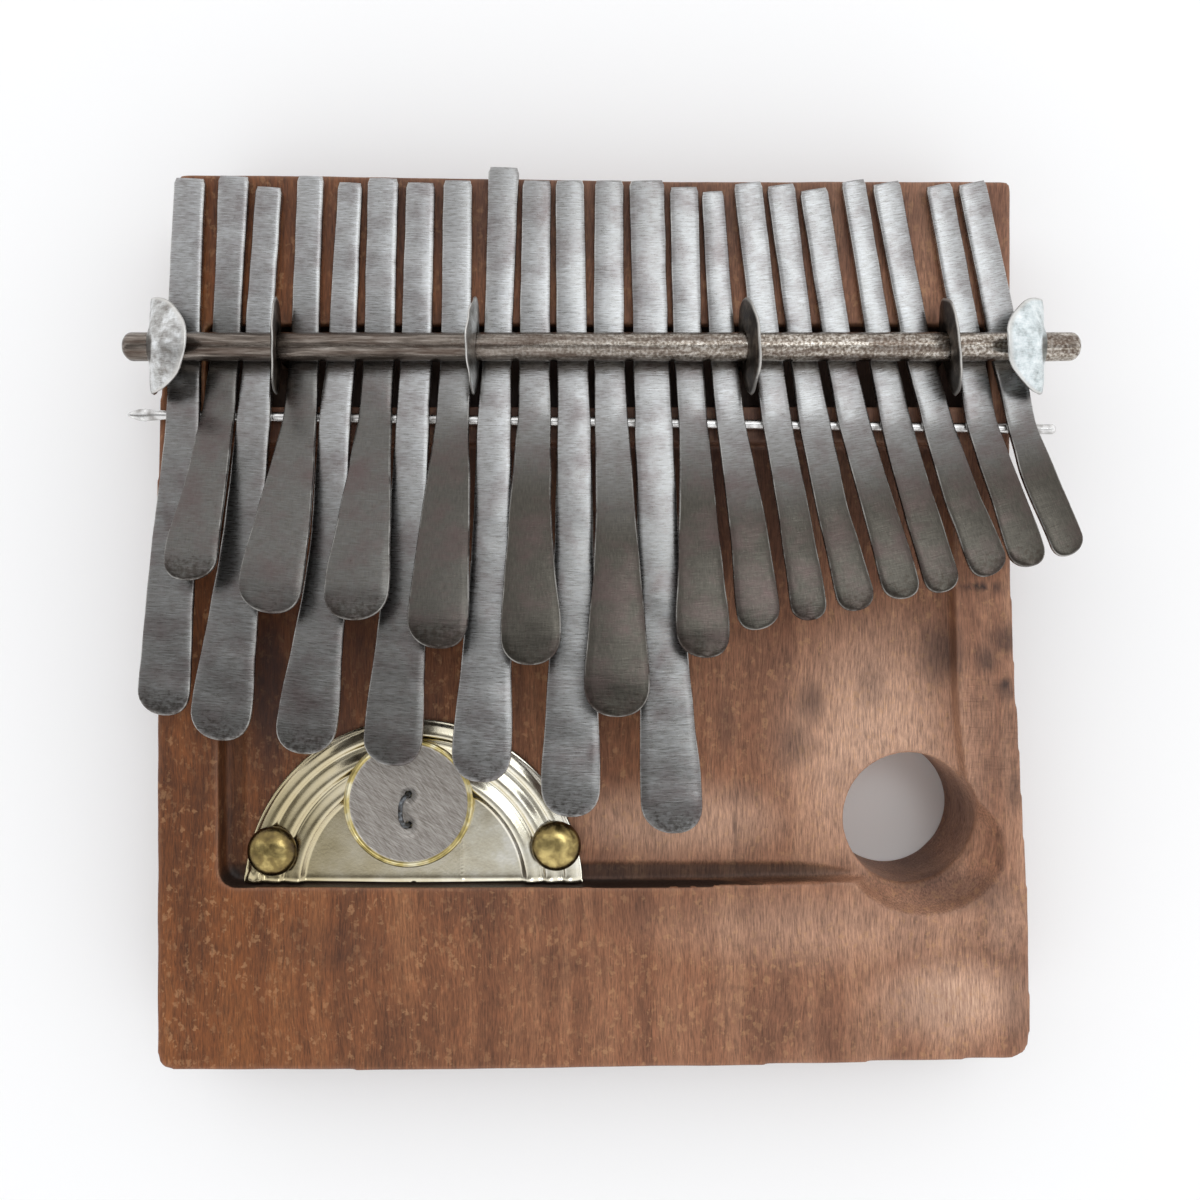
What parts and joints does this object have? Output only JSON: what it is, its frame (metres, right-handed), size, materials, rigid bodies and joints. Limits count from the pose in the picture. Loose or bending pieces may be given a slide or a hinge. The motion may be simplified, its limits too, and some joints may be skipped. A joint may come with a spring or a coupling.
{
  "type": "mbira",
  "caption": "Hand-forged lamellophone: steel keys in two rows under a pressure bar on a carved hardwood soundboard with a finger hole, a nailed tin half lid and a loose rattle disc.",
  "frame": {"origin": "centre of the soundboard's flat back face", "axes": "+X to the player's right along the pressure bar, +Y towards the keys' back ends, +Z out of the front face that carries the keys"},
  "size_m": [0.2155, 0.2059, 0.0492],
  "materials": {
    "board_wood": "oiled reddish-brown hardwood, hand carved",
    "key_steel": "hammered and cross-ground mild steel",
    "bar_steel": "forged dark brown-grey mild steel, pitted",
    "rod_steel": "bright worn steel wire rod",
    "disc_steel": "hammered steel plate with bright rims",
    "zinc_steel": "dull zinc-plated hardware",
    "tinplate": "lacquered tinplate, pressed rings, glossy",
    "rattle_tin": "brushed tinplate with a gold lacquered rim",
    "wire_steel": "dark annealed wire",
    "tack_brass": "antiqued brass"
  },
  "bodies": {
    "instrument": {"soundboard": "board_wood", "pressure_bar": "bar_steel", "bridge_rod": "rod_steel", "clamp_eye_left_outer": "disc_steel", "clamp_eye_left_inner": "disc_steel", "clamp_eye_right_inner": "disc_steel", "clamp_eye_right_outer": "disc_steel", "clamp_washer_left_outer": "zinc_steel", "clamp_washer_left_inner": "zinc_steel", "clamp_washer_right_inner": "zinc_steel", "clamp_washer_right_outer": "zinc_steel", "clamp_nut_left_outer": "zinc_steel", "clamp_nut_left_inner": "zinc_steel", "clamp_nut_right_inner": "zinc_steel", "clamp_nut_right_outer": "zinc_steel", "end_disc_left": "disc_steel", "end_disc_right": "disc_steel", "rattle_plate": "tinplate", "rattle_wire": "wire_steel", "tack_left": "tack_brass", "tack_right": "tack_brass"},
    "key_01": {"key_01": "key_steel"},
    "key_02": {"key_02": "key_steel"},
    "key_03": {"key_03": "key_steel"},
    "key_04": {"key_04": "key_steel"},
    "key_05": {"key_05": "key_steel"},
    "key_06": {"key_06": "key_steel"},
    "key_07": {"key_07": "key_steel"},
    "key_08": {"key_08": "key_steel"},
    "key_09": {"key_09": "key_steel"},
    "key_10": {"key_10": "key_steel"},
    "key_11": {"key_11": "key_steel"},
    "key_12": {"key_12": "key_steel"},
    "key_13": {"key_13": "key_steel"},
    "key_14": {"key_14": "key_steel"},
    "key_15": {"key_15": "key_steel"},
    "key_16": {"key_16": "key_steel"},
    "key_17": {"key_17": "key_steel"},
    "key_18": {"key_18": "key_steel"},
    "key_19": {"key_19": "key_steel"},
    "key_20": {"key_20": "key_steel"},
    "key_21": {"key_21": "key_steel"},
    "key_22": {"key_22": "key_steel"},
    "rattle": {"rattle_disc": "rattle_tin"}
  },
  "joints": [
    {"name": "key_01_flex", "type": "hinge", "parent": "instrument", "child": "key_01", "pos_m": [-0.093, 0.04761, 0.0324], "axis": [1, 0, 0], "range_deg": [-0.5, 1.5], "stiffness_Nm_per_rad": 2},
    {"name": "key_02_flex", "type": "hinge", "parent": "instrument", "child": "key_02", "pos_m": [-0.085, 0.04749, 0.0324], "axis": [1, 0, 0], "range_deg": [-0.5, 1.5], "stiffness_Nm_per_rad": 2},
    {"name": "key_03_flex", "type": "hinge", "parent": "instrument", "child": "key_03", "pos_m": [-0.077, 0.04736, 0.0324], "axis": [1, 0, 0], "range_deg": [-0.5, 1.5], "stiffness_Nm_per_rad": 2},
    {"name": "key_04_flex", "type": "hinge", "parent": "instrument", "child": "key_04", "pos_m": [-0.0665, 0.04719, 0.0324], "axis": [1, 0, 0], "range_deg": [-0.5, 1.5], "stiffness_Nm_per_rad": 2},
    {"name": "key_05_flex", "type": "hinge", "parent": "instrument", "child": "key_05", "pos_m": [-0.0585, 0.04707, 0.0324], "axis": [1, 0, 0], "range_deg": [-0.5, 1.5], "stiffness_Nm_per_rad": 2},
    {"name": "key_06_flex", "type": "hinge", "parent": "instrument", "child": "key_06", "pos_m": [-0.0495, 0.04693, 0.0324], "axis": [1, 0, 0], "range_deg": [-0.5, 1.5], "stiffness_Nm_per_rad": 2},
    {"name": "key_07_flex", "type": "hinge", "parent": "instrument", "child": "key_07", "pos_m": [-0.041, 0.04679, 0.0324], "axis": [1, 0, 0], "range_deg": [-0.5, 1.5], "stiffness_Nm_per_rad": 2},
    {"name": "key_08_flex", "type": "hinge", "parent": "instrument", "child": "key_08", "pos_m": [-0.032, 0.04665, 0.0324], "axis": [1, 0, 0], "range_deg": [-0.5, 1.5], "stiffness_Nm_per_rad": 2},
    {"name": "key_09_flex", "type": "hinge", "parent": "instrument", "child": "key_09", "pos_m": [-0.0225, 0.0465, 0.0324], "axis": [1, 0, 0], "range_deg": [-0.5, 1.5], "stiffness_Nm_per_rad": 2},
    {"name": "key_10_flex", "type": "hinge", "parent": "instrument", "child": "key_10", "pos_m": [-0.0135, 0.04636, 0.0324], "axis": [1, 0, 0], "range_deg": [-0.5, 1.5], "stiffness_Nm_per_rad": 2},
    {"name": "key_11_flex", "type": "hinge", "parent": "instrument", "child": "key_11", "pos_m": [-0.0045, 0.04622, 0.0324], "axis": [1, 0, 0], "range_deg": [-0.5, 1.5], "stiffness_Nm_per_rad": 2},
    {"name": "key_12_flex", "type": "hinge", "parent": "instrument", "child": "key_12", "pos_m": [0.004, 0.04609, 0.0324], "axis": [1, 0, 0], "range_deg": [-0.5, 1.5], "stiffness_Nm_per_rad": 2},
    {"name": "key_13_flex", "type": "hinge", "parent": "instrument", "child": "key_13", "pos_m": [0.0135, 0.04594, 0.0324], "axis": [1, 0, 0], "range_deg": [-0.5, 1.5], "stiffness_Nm_per_rad": 2},
    {"name": "key_14_flex", "type": "hinge", "parent": "instrument", "child": "key_14", "pos_m": [0.0225, 0.0458, 0.0324], "axis": [1, 0, 0], "range_deg": [-0.5, 1.5], "stiffness_Nm_per_rad": 2},
    {"name": "key_15_flex", "type": "hinge", "parent": "instrument", "child": "key_15", "pos_m": [0.031, 0.04566, 0.0324], "axis": [1, 0, 0], "range_deg": [-0.5, 1.5], "stiffness_Nm_per_rad": 2},
    {"name": "key_16_flex", "type": "hinge", "parent": "instrument", "child": "key_16", "pos_m": [0.0415, 0.0455, 0.0324], "axis": [1, 0, 0], "range_deg": [-0.5, 1.5], "stiffness_Nm_per_rad": 2},
    {"name": "key_17_flex", "type": "hinge", "parent": "instrument", "child": "key_17", "pos_m": [0.05, 0.04536, 0.0324], "axis": [1, 0, 0], "range_deg": [-0.5, 1.5], "stiffness_Nm_per_rad": 2},
    {"name": "key_18_flex", "type": "hinge", "parent": "instrument", "child": "key_18", "pos_m": [0.059, 0.04522, 0.0324], "axis": [1, 0, 0], "range_deg": [-0.5, 1.5], "stiffness_Nm_per_rad": 2},
    {"name": "key_19_flex", "type": "hinge", "parent": "instrument", "child": "key_19", "pos_m": [0.0685, 0.04507, 0.0324], "axis": [1, 0, 0], "range_deg": [-0.5, 1.5], "stiffness_Nm_per_rad": 2},
    {"name": "key_20_flex", "type": "hinge", "parent": "instrument", "child": "key_20", "pos_m": [0.078, 0.04492, 0.0324], "axis": [1, 0, 0], "range_deg": [-0.5, 1.5], "stiffness_Nm_per_rad": 2},
    {"name": "key_21_flex", "type": "hinge", "parent": "instrument", "child": "key_21", "pos_m": [0.088, 0.04477, 0.0324], "axis": [1, 0, 0], "range_deg": [-0.5, 1.5], "stiffness_Nm_per_rad": 2},
    {"name": "key_22_flex", "type": "hinge", "parent": "instrument", "child": "key_22", "pos_m": [0.097, 0.04463, 0.0324], "axis": [1, 0, 0], "range_deg": [-0.5, 1.5], "stiffness_Nm_per_rad": 2},
    {"name": "rattle_lift", "type": "slide", "parent": "instrument", "child": "rattle", "axis": [0, 0, 1], "range_m": [0, 0.0008]}
  ]
}
